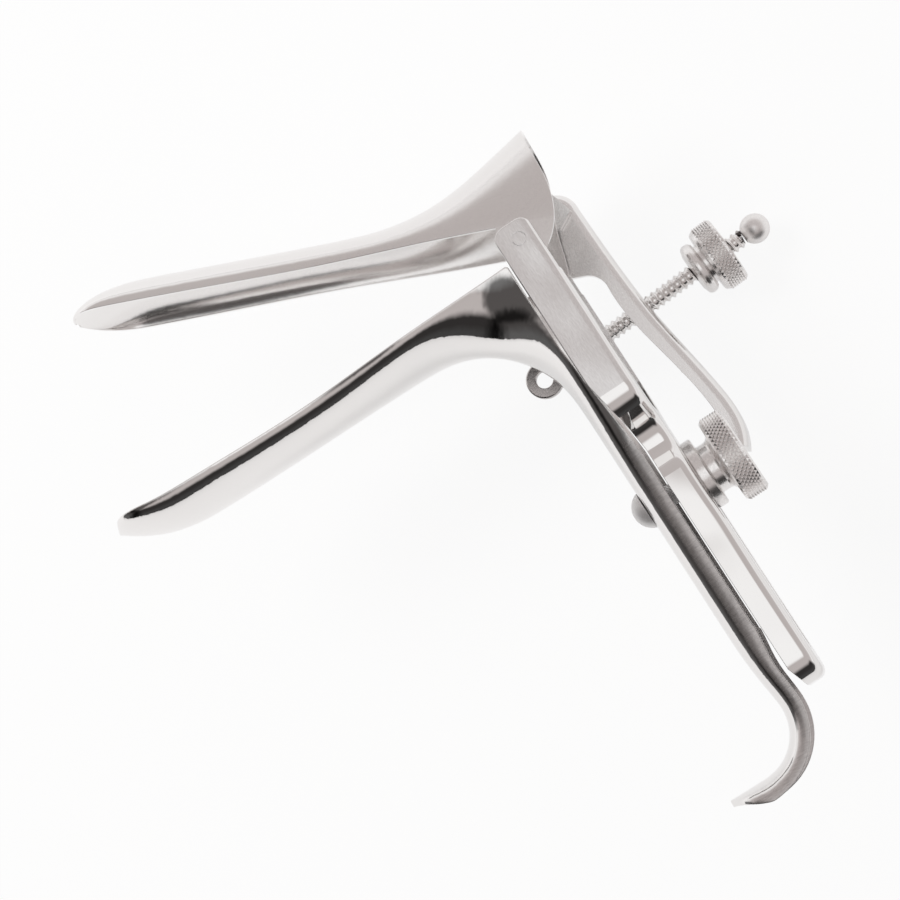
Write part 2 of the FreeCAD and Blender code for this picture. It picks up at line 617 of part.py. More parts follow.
def lever_side_face():
    """Side view of the lever: a wide top, an arched cut-out in front and a bar that leans back to its pad."""
    leaves_hub = (CUT_OUT_START, -math.sqrt(LEVER_HUB ** 2 - CUT_OUT_START ** 2))
    hub = Part.Arc(Vec(leaves_hub[0], leaves_hub[1], 0), Vec(-LEVER_HUB, 0, 0),
                   Vec(LEVER_HUB_TOP[0], LEVER_HUB_TOP[1], 0))
    edges = [
        line(LEVER_TOP[0], LEVER_TOP[1]),
        Part.Arc(*[Vec(x, y, 0) for x, y in LEVER_TOP[1:]]).toShape(),
        spline(LEVER_REAR),
        line(LEVER_REAR[-1], LEVER_PAD_FRONT[0]),
        spline(LEVER_PAD_FRONT),
        line(LEVER_PAD_FRONT[-1], LEVER_NOTCH),
        line(LEVER_NOTCH, LEVER_BAR_FRONT[0]),
        spline(LEVER_BAR_FRONT),
        Part.Arc(*[Vec(x, y, 0) for x, y in CUT_OUT_CORNER]).toShape(),
        line(CUT_OUT_CORNER[-1], leaves_hub),
        hub.toShape(),
        line(LEVER_HUB_TOP, LEVER_TOP[0]),
    ]
    return Part.Face(Part.Wire(edges))


def lever_front_space():
    """Everything in front of the web's inner face and outside the side plate, and what is above the web's wide part."""
    inner = [(x - LEVER_SHEET, y) for x, y in LEVER_REAR]
    top, bottom = inner[0], inner[-1]
    edges = [spline(inner)]
    corners = [bottom, (bottom[0], -FAR_AWAY), (-FAR_AWAY, -FAR_AWAY), (-FAR_AWAY, FAR_AWAY), (top[0], FAR_AWAY), top]
    edges += [line(a, b) for a, b in zip(corners, corners[1:])]
    face = Part.Face(Part.Wire(edges))
    face.translate(Vec(0, 0, -FAR_AWAY))
    space = face.extrude(Vec(0, 0, FAR_AWAY - LEVER_INNER - LEVER_SHEET))
    above = box(-FAR_AWAY, FAR_AWAY, LEVER_LIP_END, FAR_AWAY, -FAR_AWAY, -LEVER_INNER - LEVER_LIP)
    return space.fuse(above)


def lever_boss():
    """Block over the arm's end that joins the lever to the flare, seated on the flare's outer face."""
    block = prism(BOSS_OUTLINE, -LEVER_INNER, BOSS_INNER)
    flare = open_up(bent_solid(upper_rows()))
    return block.cut(flare)


def thumb_lever():
    """Thumb lever: side plate with a hub on the hinge pin, an outward web with a slot, and a boss on the flare."""
    side = lever_side_face()
    side.translate(Vec(0, 0, -LEVER_INNER - LEVER_WIDTH))
    block = side.extrude(Vec(0, 0, LEVER_WIDTH))
    shoulder = Vec(LEVER_REAR[0][0], LEVER_REAR[0][1], -LEVER_INNER)
    rear = lambda c, e: not along_z(e) and any(v.Point.distanceToPoint(shoulder) < 1e-3 for v in e.Vertexes)
    plate = rounded(block, LEVER_BEND, rear).cut(lever_front_space()).fuse(lever_boss())
    hub = rod_between(HINGE_PIN_RADIUS + RUNNING_FIT, Vec(0, 0, -FAR_AWAY), Vec(0, 0, FAR_AWAY))
    return plate.cut(hub).cut(lever_slot()).removeSplitter()


def lever_slot():
    """Upright slot in the lever's web, which leaves the rod free to tilt."""
    half = ROD_RADIUS + LEVER_SLOT_CLEARANCE
    front, rear = LEVER_REAR[0][0] - LEVER_BEND, LEVER_REAR[-2][0]
    y = ROD_PIVOT[1] + (front - ROD_PIVOT[0]) * math.sin(math.radians(ROD_REST_TILT))
    reach = LEVER_SLOT_LENGTH / 2 - half
    cut = box(front, rear, y - reach, y + reach, ROD_Z - half, ROD_Z + half)
    for end in (y - reach, y + reach):
        cut = cut.fuse(rod_between(half, Vec(front, end, ROD_Z), Vec(rear, end, ROD_Z)))
    return cut


def on_rod(shape):
    """Carry a piece drawn along the rod from its pivot to its place on the instrument."""
    shape.rotate(Vec(0, 0, 0), Z_AXIS, ROD_REST_TILT)
    shape.translate(Vec(ROD_PIVOT[0], ROD_PIVOT[1], ROD_Z))
    return shape


def revolve_profile(points):
    """Turn an (x, radius) outline about the X axis."""
    wire = Part.makePolygon([Vec(x, r, 0) for x, r in points] + [Vec(points[0][0], points[0][1], 0)])
    return Part.Face(wire).revolve(Vec(0, 0, 0), X_AXIS, 360)


def threaded_rod():
    """Rod with a plain neck and a flat eye forged on its front end; the thread's crests are at the full radius."""
    in_ring = EYE_CENTRE + (EYE_HOLE + EYE_OUTER) / 2
    neck = rod_between(ROD_NECK_RADIUS, Vec(in_ring, 0, 0), Vec(NECK_END, 0, 0))
    thread = rod_between(ROD_RADIUS, Vec(NECK_END, 0, 0), Vec(BALL_CENTRE - BALL_RADIUS + 0.4, 0, 0))
    spigot = rod_between(ROD_NECK_RADIUS, Vec(BALL_CENTRE - BALL_RADIUS, 0, 0), Vec(BALL_CENTRE, 0, 0))
    half = EYE_THICKNESS / 2
    eye = Part.makeCylinder(EYE_OUTER, EYE_THICKNESS, Vec(EYE_CENTRE, 0, -half), Z_AXIS)
    hole = Part.makeCylinder(EYE_HOLE, EYE_THICKNESS * 2, Vec(EYE_CENTRE, 0, -EYE_THICKNESS), Z_AXIS)
    return on_rod(neck.fuse(thread).fuse(spigot).fuse(eye).cut(hole))


def ball_end():
    """Ball that keeps the nut on the rod, bored for the rod's spigot."""
    ball = Part.makeSphere(BALL_RADIUS, Vec(BALL_CENTRE, 0, 0))
    seat = rod_between(ROD_NECK_RADIUS, Vec(BALL_CENTRE - 2 * BALL_RADIUS, 0, 0), Vec(BALL_CENTRE, 0, 0))
    thread = rod_between(ROD_RADIUS, Vec(0, 0, 0), Vec(BALL_CENTRE - BALL_RADIUS + 0.4, 0, 0))
    return on_rod(ball.cut(seat).cut(thread))


def lever_nut():
    """Collared nut on the rod: collar, groove and knurled head with a smooth front chamfer."""
    bore = ROD_RADIUS + RUNNING_FIT
    collar_end = NUT_FRONT + NUT_COLLAR
    head = collar_end + NUT_GROOVE
    rear = head + NUT_KNOB
    outline = [
        (NUT_FRONT, bore), (NUT_FRONT, NUT_COLLAR_RADIUS - 0.8), (NUT_FRONT + 0.8, NUT_COLLAR_RADIUS),
        (collar_end - 0.8, NUT_COLLAR_RADIUS), (collar_end, NUT_COLLAR_RADIUS - 0.8),
        (collar_end, NUT_GROOVE_RADIUS), (head, NUT_GROOVE_RADIUS), (head, NUT_KNOB_RADIUS - NUT_CHAMFER),
        (head + NUT_CHAMFER, NUT_KNOB_RADIUS), (rear - 0.4, NUT_KNOB_RADIUS), (rear, NUT_KNOB_RADIUS - 0.4),
        (rear, bore)]
    return on_rod(revolve_profile(outline))


def rod_lug():
    """Ear on the far arm's outer face, with an upright hole that lets the rod's neck tilt."""
    x, y = ROD_PIVOT
    half = LUG_SHEET / 2
    z_out = ROD_Z - LUG_REACH
    ear_plate = box(x - half, x + half, y - LUG_HALF_HEIGHT, y + LUG_HALF_HEIGHT, z_out, -ARM_OUTER)
    round_end = lambda c, e: abs(c.z - z_out) < 0.1 and abs(e.BoundBox.XLength - LUG_SHEET) < 0.1
    ear_plate = rounded(ear_plate, LUG_HALF_HEIGHT - 0.7, round_end)
    foot = box(x - half, x + 5.0, y - LUG_HALF_HEIGHT, y + LUG_HALF_HEIGHT, -ARM_OUTER - LUG_SHEET, -ARM_OUTER)
    hole_radius = ROD_NECK_RADIUS + 0.25
    hole = box(x - 2, x + 2, y - 0.6, y + 0.6, ROD_Z - hole_radius, ROD_Z + hole_radius)
    for end in (y - 0.6, y + 0.6):
        hole = hole.fuse(rod_between(hole_radius, Vec(x - 2, end, ROD_Z), Vec(x + 2, end, ROD_Z)))
    return ear_plate.fuse(foot).cut(hole)


def lock_stud():
    """Domed stud through the handle strip and the slot, seated on the strip's front."""
    seat = STRIP_FRONT
    shank = rod_between(STUD_RADIUS, Vec(seat, STUD_Y, 0), Vec(lock_nut_rear() - 1.0, STUD_Y, 0))
    radius = (STUD_HEAD_RADIUS ** 2 + STUD_HEAD_HEIGHT ** 2) / (2 * STUD_HEAD_HEIGHT)
    dome = Part.makeSphere(radius, Vec(seat - STUD_HEAD_HEIGHT + radius, STUD_Y, 0))
    head = dome.common(box(seat - STUD_HEAD_HEIGHT - 1, seat, STUD_Y - 9, STUD_Y + 9, -9, 9))
    return shank.fuse(head)


def lock_nut_rear():
    """Rear face of the lock nut."""
    return YOKE_REAR + RUNNING_FIT + LOCK_FLANGE + LOCK_NECK + LOCK_KNOB


def lock_nut():
    """Nut that clamps the yoke: flange, neck and knurled knob."""
    bore = STUD_RADIUS + RUNNING_FIT
    front = YOKE_REAR + RUNNING_FIT
    flange_end = front + LOCK_FLANGE
    knob = flange_end + LOCK_NECK
    rear = lock_nut_rear()
    outline = [
        (front, bore), (front, LOCK_FLANGE_RADIUS), (flange_end, LOCK_FLANGE_RADIUS),
        (flange_end, LOCK_NECK_RADIUS), (knob, LOCK_NECK_RADIUS), (knob, LOCK_KNOB_RADIUS - LOCK_CHAMFER),
        (knob + LOCK_CHAMFER, LOCK_KNOB_RADIUS), (rear - LOCK_CHAMFER, LOCK_KNOB_RADIUS),
        (rear, LOCK_KNOB_RADIUS - LOCK_CHAMFER), (rear, bore)]
    corner = lambda c, e: abs(c.x - knob) < 1e-3 and abs(e.BoundBox.YMax - LOCK_NECK_RADIUS) < 1e-3
    nut = rounded(revolve_profile(outline), LOCK_NECK_FILLET, corner)
    nut.translate(Vec(0, STUD_Y, 0))
    return nut


def pieces():
    """Every piece in the instrument's own frame, by its node's name."""
    return {
        "lower_blade": lower_blade(),
        "lock_stud": lock_stud(),
        "lock_nut": lock_nut(),
        "yoke": yoke(),
        "near_hinge_pin": near_hinge_pin(),
        "far_hinge_pin": far_hinge_pin(),
        "rod_lug": rod_lug(),
        "upper_blade": upper_blade(),
        "thumb_lever": thumb_lever(),
        "threaded_rod": threaded_rod(),
        "ball_end": ball_end(),
        "lever_nut": lever_nut(),
    }


def lie_down(solids):
    """Placement that lays the instrument on its far side, with the origin under the middle of the whole."""
    turn = FreeCAD.Rotation(X_AXIS, LIE_ROLL).multiply(FreeCAD.Rotation(Y_AXIS, LIE_PITCH))
    laid = Part.makeCompound(list(solids.values()))
    laid.Placement = FreeCAD.Placement(Vec(0, 0, 0), turn)
    bounds = laid.optimalBoundingBox(False, False)
    middle = Vec(-(bounds.XMin + bounds.XMax) / 2, -(bounds.YMin + bounds.YMax) / 2, -bounds.ZMin)
    return FreeCAD.Placement(middle, turn)


def main():
    """Build the pieces, lay them down and write one file each."""
    os.makedirs("parts", exist_ok=True)
    solids = pieces()
    placement = lie_down(solids)
    for name, solid in solids.items():
        solid = solid.copy()
        solid.Placement = placement.multiply(solid.Placement)
        solid.exportStep("parts/" + name + ".step")
        print(name, "solids", len(solid.Solids), "valid", solid.isValid(), "volume", round(solid.Volume, 1))
    matrix = placement.toMatrix()
    print("placement", [round(v, 9) for v in matrix.A])


main()
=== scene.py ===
# %% [markdown]
# # A bivalve speculum in polished steel
# This lesson dresses a surgical speculum: two trough-shaped blades on a forked yoke, a thumb lever, a threaded rod
# with a knurled nut, and a knurled lock nut on the handle. The working parts arrive from the CAD model at their real
# size. Our job is the finish: mirror-polished and brushed steel, a real screw thread, real knurling, and a studio that
# gives polished metal something to reflect.

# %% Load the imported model
import json
import math

import bmesh
import bpy
from mathutils import Matrix, Vector

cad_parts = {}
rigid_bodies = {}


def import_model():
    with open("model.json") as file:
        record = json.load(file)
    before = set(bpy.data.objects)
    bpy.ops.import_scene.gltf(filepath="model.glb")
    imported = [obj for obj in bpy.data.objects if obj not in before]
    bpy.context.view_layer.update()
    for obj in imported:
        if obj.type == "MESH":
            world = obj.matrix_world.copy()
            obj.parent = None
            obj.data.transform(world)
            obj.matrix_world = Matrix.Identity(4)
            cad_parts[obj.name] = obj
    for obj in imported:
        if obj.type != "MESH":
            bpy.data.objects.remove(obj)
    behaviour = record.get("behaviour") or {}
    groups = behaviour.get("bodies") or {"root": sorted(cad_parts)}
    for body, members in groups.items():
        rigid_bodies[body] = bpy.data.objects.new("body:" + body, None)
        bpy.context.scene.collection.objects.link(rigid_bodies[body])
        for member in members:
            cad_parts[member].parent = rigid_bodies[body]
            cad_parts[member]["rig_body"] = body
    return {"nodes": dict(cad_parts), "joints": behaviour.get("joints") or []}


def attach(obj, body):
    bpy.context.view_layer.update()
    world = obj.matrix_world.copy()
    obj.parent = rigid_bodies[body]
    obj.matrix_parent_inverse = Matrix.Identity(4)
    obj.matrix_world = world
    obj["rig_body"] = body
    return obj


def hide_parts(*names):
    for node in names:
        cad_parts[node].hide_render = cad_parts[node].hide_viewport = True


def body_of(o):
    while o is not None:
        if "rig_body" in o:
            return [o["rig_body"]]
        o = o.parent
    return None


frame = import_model()
bpy.context.scene.view_settings.view_transform = "Standard"
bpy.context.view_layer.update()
nodes = frame["nodes"]
MM = 0.001
print("pieces from the CAD model:", sorted(nodes))

# %% [markdown]
# ## The instrument's own axes
# The instrument lies tilted on the table, so its own directions are not the table's. The joints know them: the blades
# turn about the hinge axis, the yoke slides along the handle, and the lock nut screws straight back. Those three
# directions and the hinge's place make one matrix. Everything below is then drawn in plain instrument millimetres:
# X back towards the nuts, Y up the handle, Z along the hinge towards the near arm.

# %% Instrument matrix from the joints
joints = {joint["name"]: joint for joint in frame["joints"]}
across = Vector(joints["blade_hinge"]["axis"]).normalized()
up_handle = Vector(joints["yoke_slide"]["axis"]).normalized()
backwards = up_handle.cross(across).normalized()
hinge = Vector(joints["blade_hinge"]["pos_m"])
axes = Matrix((backwards, up_handle, across)).transposed()
INSTRUMENT = Matrix.Translation(hinge) @ axes.to_4x4() @ Matrix.Scale(MM, 4)
rod_pivot = Vector(joints["rod_tilt"]["pos_m"])
rod_line = Vector(joints["lever_nut_screw"]["axis"]).normalized()
rod_side = across.cross(rod_line).normalized()
rod_axes = Matrix((rod_line, rod_side, across)).transposed()
ROD = Matrix.Translation(rod_pivot) @ rod_axes.to_4x4() @ Matrix.Scale(MM, 4)
print("hinge at", [round(v, 4) for v in hinge], "rod pivot at", [round(v, 4) for v in rod_pivot])

# %% [markdown]
# ## Camera
# The picture was taken from above with a fairly long lens, a little from the handle's end. The camera's place and its
# right and down directions are given in the instrument's own frame, and the matrix above carries them to the table.

# %% Camera
CAMERA_AT = Vector((16.9, -130.3, 486.2))
CAMERA_RIGHT = Vector((0.829, -0.519, -0.2085))
CAMERA_DOWN = Vector((-0.547, -0.830, -0.109))
LENS = 84.84
SENSOR = 36.0


def make_camera():
    right = (axes @ CAMERA_RIGHT).normalized()
    up = -(axes @ CAMERA_DOWN).normalized()
    back = right.cross(up).normalized()
    up = back.cross(right)
    data = bpy.data.cameras.new("camera")
    data.lens = LENS
    data.sensor_width = SENSOR
    data.clip_start = 0.01
    data.clip_end = 50.0
    camera = bpy.data.objects.new("camera", data)
    turn = Matrix((right, up, back)).transposed().to_4x4()
    camera.matrix_world = Matrix.Translation(INSTRUMENT @ CAMERA_AT) @ turn
    bpy.context.scene.collection.objects.link(camera)
    bpy.context.scene.camera = camera
    return camera


camera = make_camera()
print("camera at", [round(v, 3) for v in camera.matrix_world.translation])

# %% [markdown]
# ## Studio
# Polished steel has no colour of its own: it shows the room. The room here is bright near the horizon, grey from about
# 20 degrees up, and bright again straight above. Three dark panels in it draw the dark lines along the blades. The
# camera itself sees plain white. A mix on Light Path's Is Camera Ray keeps the two apart.

# %% Node helpers
WHITE = (1.0, 1.0, 1.0, 1.0)


def new_node(tree, kind, **values):
    node = tree.nodes.new(kind)
    for name, value in values.items():
        setattr(node, name, value)
    return node


def set_inputs(node, **values):
    for name, value in values.items():
        node.inputs[name.replace("_", " ")].default_value = value
    return node


def ramp(tree, stops, source):
    node = new_node(tree, "ShaderNodeValToRGB")
    band = node.color_ramp
    while len(band.elements) < len(stops):
        band.elements.new(0.5)
    for element, (place, level) in zip(band.elements, stops):
        element.position = place
        element.color = (level, level ** 1.12, level ** 1.15, 1.0)
    tree.links.new(source, node.inputs["Fac"])
    return node


def math_node(tree, operation, first, second):
    node = new_node(tree, "ShaderNodeMath", operation=operation)
    for socket, value in zip(node.inputs, (first, second)):
        if isinstance(value, (int, float)):
            socket.default_value = value
        else:
            tree.links.new(value, socket)
    return node.outputs[0]


def fade(tree, value, low, high):
    """0 below low, 1 above high, smooth between them. With low above high it falls instead."""
    node = new_node(tree, "ShaderNodeMapRange", interpolation_type="SMOOTHSTEP")
    start, end = (0.0, 1.0) if low < high else (1.0, 0.0)
    set_inputs(node, From_Min=min(low, high), From_Max=max(low, high), To_Min=start, To_Max=end)
    tree.links.new(value, node.inputs["Value"])
    return node.outputs["Result"]


def towards(tree, direction, source):
    """Cosine between the view direction and one direction of the instrument's frame."""
    node = new_node(tree, "ShaderNodeVectorMath", operation="DOT_PRODUCT")
    node.inputs[1].default_value = (axes @ Vector(direction)).normalized()
    tree.links.new(source, node.inputs[0])
    return node.outputs["Value"]


# %% Room
# brightness at each sine of the height above the horizon
HEIGHT_STOPS = [(0.0, 0.9), (0.13, 0.9), (0.36, 0.54), (0.925, 0.52), (0.972, 0.97), (1.0, 1.0)]
# each dark panel: its direction, the cosines where it starts and is full, the sines of the heights where it has ended
# and is full, and how dark it is
DARK_PANELS = [
    ((-0.2, -0.98, 0.0), 0.5, 0.74, 0.74, 0.52, 0.94),
    ((-0.97, -0.22, 0.0), 0.72, 0.9, 0.8, 0.66, 0.88),
    ((-0.68, -0.2, 0.7), 0.83, 0.92, 1.3, 1.2, 0.82),
]


def make_world():
    world = bpy.data.worlds.new("studio")
    bpy.context.scene.world = world
    world.use_nodes = True
    tree = world.node_tree
    tree.nodes.clear()
    where = new_node(tree, "ShaderNodeTexCoord")
    split = new_node(tree, "ShaderNodeSeparateXYZ")
    tree.links.new(where.outputs["Generated"], split.inputs[0])
    height = ramp(tree, HEIGHT_STOPS, split.outputs["Z"])
    light = None
    for direction, start, full, top, low, depth in DARK_PANELS:
        sideways = fade(tree, towards(tree, direction, where.outputs["Generated"]), start, full)
        panel = math_node(tree, "MULTIPLY", sideways, fade(tree, split.outputs["Z"], top, low))
        left = math_node(tree, "SUBTRACT", 1.0, math_node(tree, "MULTIPLY", panel, depth))
        light = left if light is None else math_node(tree, "MULTIPLY", light, left)
    room = new_node(tree, "ShaderNodeBackground")
    tree.links.new(height.outputs["Color"], room.inputs["Color"])
    tree.links.new(light, room.inputs["Strength"])
    plain = new_node(tree, "ShaderNodeBackground")
    set_inputs(plain, Color=WHITE, Strength=1.0)
    ray = new_node(tree, "ShaderNodeLightPath")
    mix = new_node(tree, "ShaderNodeMixShader")
    tree.links.new(ray.outputs["Is Camera Ray"], mix.inputs[0])
    tree.links.new(room.outputs[0], mix.inputs[1])
    tree.links.new(plain.outputs[0], mix.inputs[2])
    out = new_node(tree, "ShaderNodeOutputWorld")
    tree.links.new(mix.outputs[0], out.inputs["Surface"])


make_world()
print("dark panels in the room:", len(DARK_PANELS))

# %% Floor
FLOOR_RADIUS = 4.0
FLOOR_GAP = 0.0002
FLOOR_GLOW = 0.9
METAL_GLOW = 0.5


def make_floor():
    mesh = bpy.data.meshes.new("floor")
    bm = bmesh.new()
    bmesh.ops.create_circle(bm, cap_ends=True, segments=96, radius=FLOOR_RADIUS)
    bm.to_mesh(mesh)
    bm.free()
    floor = bpy.data.objects.new("floor", mesh)
    floor.location = (0.0, 0.0, -FLOOR_GAP)
    bpy.context.scene.collection.objects.link(floor)
    material = bpy.data.materials.new("white_sweep")
    material.use_nodes = True
    tree = material.node_tree
    tree.nodes.clear()
    paper = new_node(tree, "ShaderNodeBsdfDiffuse")
    set_inputs(paper, Color=(0.93, 0.93, 0.93, 1.0))
    glow = new_node(tree, "ShaderNodeEmission")
    set_inputs(glow, Color=WHITE, Strength=1.0)
    ray = new_node(tree, "ShaderNodeLightPath")
    to_camera = math_node(tree, "MULTIPLY", ray.outputs["Is Camera Ray"], FLOOR_GLOW)
    to_metal = math_node(tree, "MULTIPLY", ray.outputs["Is Glossy Ray"], METAL_GLOW)
    mix = new_node(tree, "ShaderNodeMixShader")
    tree.links.new(math_node(tree, "MAXIMUM", to_camera, to_metal), mix.inputs[0])
    tree.links.new(paper.outputs[0], mix.inputs[1])
    tree.links.new(glow.outputs[0], mix.inputs[2])
    out = new_node(tree, "ShaderNodeOutputMaterial")
    tree.links.new(mix.outputs[0], out.inputs["Surface"])
    mesh.materials.append(material)
    return floor


floor = make_floor()
print("floor is", 2 * FLOOR_RADIUS, "m across")

# %% [markdown]
# ## Lamp
# One soft lamp gives the floor its shadow. It is hidden from reflections, because a small bright rectangle would burn
# white spots into the mirror finish.

# %% Soft lamp
KEY_FROM = (-0.5, 0.6, 0.9)
KEY_DISTANCE = 1.2
KEY_WIDTH = 0.8
KEY_HEIGHT = 0.5
KEY_POWER = 9.0


def softbox(name, direction, distance, width, height, power):
    """A rectangular lamp that shines at the hinge from a direction in the table's frame."""
    data = bpy.data.lights.new(name, "AREA")
    data.shape = "RECTANGLE"
    data.size = width
    data.size_y = height
    data.energy = power
    lamp = bpy.data.objects.new(name, data)
    away = Vector(direction).normalized()
    lamp.location = hinge + away * distance
    lamp.visible_glossy = False
    lamp.rotation_mode = "QUATERNION"
    lamp.rotation_quaternion = away.to_track_quat("Z", "Y")
    bpy.context.scene.collection.objects.link(lamp)
    return lamp


key = softbox("key", KEY_FROM, KEY_DISTANCE, KEY_WIDTH, KEY_HEIGHT, KEY_POWER)
print("lamp at", [round(v, 3) for v in key.location])

# %% [markdown]
# ## Where a finish goes
# The maker polishes the blades to a mirror and leaves the arms and the lever satin, so one piece has two finishes. A
# material can tell them apart by place and by which way the surface faces. Object coordinates are the table's, so a
# Mapping node turns them into the instrument's millimetres, and a second one turns the surface's direction.

# %% Place and direction in the instrument's frame
turn_back = axes.transposed()
shift_back = -(turn_back @ hinge) / MM


def place_and_facing(tree):
    """Six numbers for a mask: X, Y, Z in instrument millimetres, and the surface's direction on the same axes."""
    where = new_node(tree, "ShaderNodeTexCoord")
    place = new_node(tree, "ShaderNodeMapping", vector_type="POINT")
    set_inputs(place, Location=shift_back, Rotation=turn_back.to_euler(), Scale=(1 / MM, 1 / MM, 1 / MM))
    tree.links.new(where.outputs["Object"], place.inputs["Vector"])
    facing = new_node(tree, "ShaderNodeMapping", vector_type="VECTOR")
    set_inputs(facing, Rotation=turn_back.to_euler())
    tree.links.new(where.outputs["Normal"], facing.inputs["Vector"])
    split_place = new_node(tree, "ShaderNodeSeparateXYZ")
    tree.links.new(place.outputs[0], split_place.inputs[0])
    split_facing = new_node(tree, "ShaderNodeSeparateXYZ")
    tree.links.new(facing.outputs[0], split_facing.inputs[0])
    return place.outputs[0], split_place.outputs, split_facing.outputs


def every(tree, *masks):
    """All of several masks at once."""
    result = masks[0]
    for mask in masks[1:]:
        result = math_node(tree, "MULTIPLY", result, mask)
    return result


def either(tree, first, second):
    return math_node(tree, "MAXIMUM", first, second)


# %% [markdown]
# ## Steel
# Two finishes of the same steel are mixed: a mirror with faint wiping marks, and a satin one, which is darker, rougher
# and has fine scratches in one direction. The scratches are a noise texture stretched along the grain, used for the
# colour, the roughness and a very small bump. A second, wider noise gives hand-polished sheet its slow waves. A Bevel
# node rounds the edges in the light only, by a quarter of a millimetre on most pieces and half on the lower blade,
# where it also evens out the reflections.

# %% Steel material
MIRROR = (0.90, 0.885, 0.875, 1.0)
GRAIN_DEPTH = 0.012
SMEAR_STRETCH = (0.12, 0.05, 0.12)
WAVE_STRETCH = (0.07, 0.035, 0.07)


def grain(tree, place, stretch, scale, detail=6.0):
    lie = new_node(tree, "ShaderNodeMapping", vector_type="POINT")
    set_inputs(lie, Scale=stretch)
    tree.links.new(place, lie.inputs["Vector"])
    noise = new_node(tree, "ShaderNodeTexNoise")
    set_inputs(noise, Scale=scale, Detail=detail, Roughness=0.6)
    tree.links.new(lie.outputs[0], noise.inputs["Vector"])
    return noise.outputs["Fac"]


def mix_numbers(tree, share, first, second):
    node = new_node(tree, "ShaderNodeMapRange")
    for name, value in (("Value", share), ("To Min", first), ("To Max", second)):
        if isinstance(value, (int, float)):
            node.inputs[name].default_value = value
        else:
            tree.links.new(value, node.inputs[name])
    return node.outputs["Result"]


def mix_colours(tree, share, first, second):
    node = new_node(tree, "ShaderNodeMix", data_type="RGBA")
    sockets = {"Factor": node.inputs[0], "A": node.inputs[6], "B": node.inputs[7]}
    for name, value in (("Factor", share), ("A", first), ("B", second)):
        if isinstance(value, (tuple, float)):
            sockets[name].default_value = value
        else:
            tree.links.new(value, sockets[name])
    return node.outputs[2]


def shade(colour, share):
    return tuple(min(1.0, c * share) for c in colour[:3]) + (1.0,)


def steel(name, satin_where, stretch, satin, satin_roughness=0.3, mirror_roughness=0.04, edge=0.25, scratch=0.35,
          mirror=MIRROR, ripple=0.1):
    """Steel that is satin where satin_where(tree, place, facing) says, and mirror elsewhere."""
    material = bpy.data.materials.new(name)
    material.use_nodes = True
    tree = material.node_tree
    shader = tree.nodes["Principled BSDF"]
    set_inputs(shader, Metallic=1.0)
    point, place, facing = place_and_facing(tree)
    share = satin_where(tree, place, facing)
    lines = grain(tree, point, stretch, 1.0)
    smears = grain(tree, point, SMEAR_STRETCH, 1.0, 3.0)
    scratched = mix_colours(tree, fade(tree, lines, 0.3, 0.72), shade(satin, 1.0 - scratch),
                            shade(satin, 1.0 + scratch * 0.8))
    wiped = mix_colours(tree, smears, shade(mirror, 0.97), mirror)
    tree.links.new(mix_colours(tree, share, wiped, scratched), shader.inputs["Base Color"])
    satin_rough = mix_numbers(tree, lines, satin_roughness * 0.75, satin_roughness * 1.25)
    mirror_rough = mix_numbers(tree, smears, mirror_roughness * 0.6, mirror_roughness * 1.6)
    tree.links.new(mix_numbers(tree, share, mirror_rough, satin_rough), shader.inputs["Roughness"])
    rounding = new_node(tree, "ShaderNodeBevel", samples=6)
    set_inputs(rounding, Radius=edge * MM)
    bump = new_node(tree, "ShaderNodeBump")
    set_inputs(bump, Distance=GRAIN_DEPTH * MM)
    tree.links.new(mix_numbers(tree, share, 0.0, 0.5), bump.inputs["Strength"])
    tree.links.new(lines, bump.inputs["Height"])
    waves = new_node(tree, "ShaderNodeBump")
    set_inputs(waves, Distance=ripple * MM, Strength=1.0)
    tree.links.new(grain(tree, point, WAVE_STRETCH, 1.0, 1.0), waves.inputs["Height"])
    tree.links.new(rounding.outputs[0], waves.inputs["Normal"])
    tree.links.new(waves.outputs[0], bump.inputs["Normal"])
    tree.links.new(bump.outputs[0], shader.inputs["Normal"])
    print(name, "has", len(tree.nodes), "nodes")
    return material


def dress(node_name, material):
    piece = nodes[node_name]
    piece.data.materials.clear()
    piece.data.materials.append(material)


# %% [markdown]
# ## Finishes of the big pieces
# The arms are satin on their side faces down to the waist. The upper blade is satin on the flare's walls and on its
# inner faces, and mirror on its crown. The lower blade is all mirror, and the strip below it is brushed on its sides.
# The lever is satin on its sides and mirror round its bends.

# %% Yoke
WAIST_LINE = -41.0
WAIST_BLUR = 0.4
ARM_SATIN = (0.96, 0.95, 0.945, 1.0)


def yoke_satin(tree, place, facing):
    side = math_node(tree, "ABSOLUTE", facing["Z"], 0.0)
    above_waist = fade(tree, place["Y"], WAIST_LINE - WAIST_BLUR, WAIST_LINE + WAIST_BLUR)
    return every(tree, fade(tree, side, 0.8, 0.93), above_waist)


arm_steel = steel("yoke_steel", yoke_satin, stretch=(9.0, 0.9, 9.0), satin=ARM_SATIN, scratch=0.1,
                  satin_roughness=0.24, ripple=1.2)
dress("yoke", arm_steel)

# %% Upper blade
FLARE_SATIN_END = -62.0
FLARE_FADE = 30.0
UPPER_SATIN = (0.88, 0.86, 0.85, 1.0)


def upper_satin(tree, place, facing):
    side = math_node(tree, "ABSOLUTE", facing["Z"], 0.0)
    back = fade(tree, place["X"], FLARE_SATIN_END, FLARE_SATIN_END + FLARE_FADE)
    flare = every(tree, fade(tree, side, 0.55, 0.92), back)
    inwards = fade(tree, math_node(tree, "MULTIPLY", place["Z"], facing["Z"]), -1.0, -3.0)
    return either(tree, flare, inwards)


dress("upper_blade", steel("upper_steel", upper_satin, stretch=(7.0, 7.0, 7.0), satin=UPPER_SATIN, scratch=0.1,
                           satin_roughness=0.2))

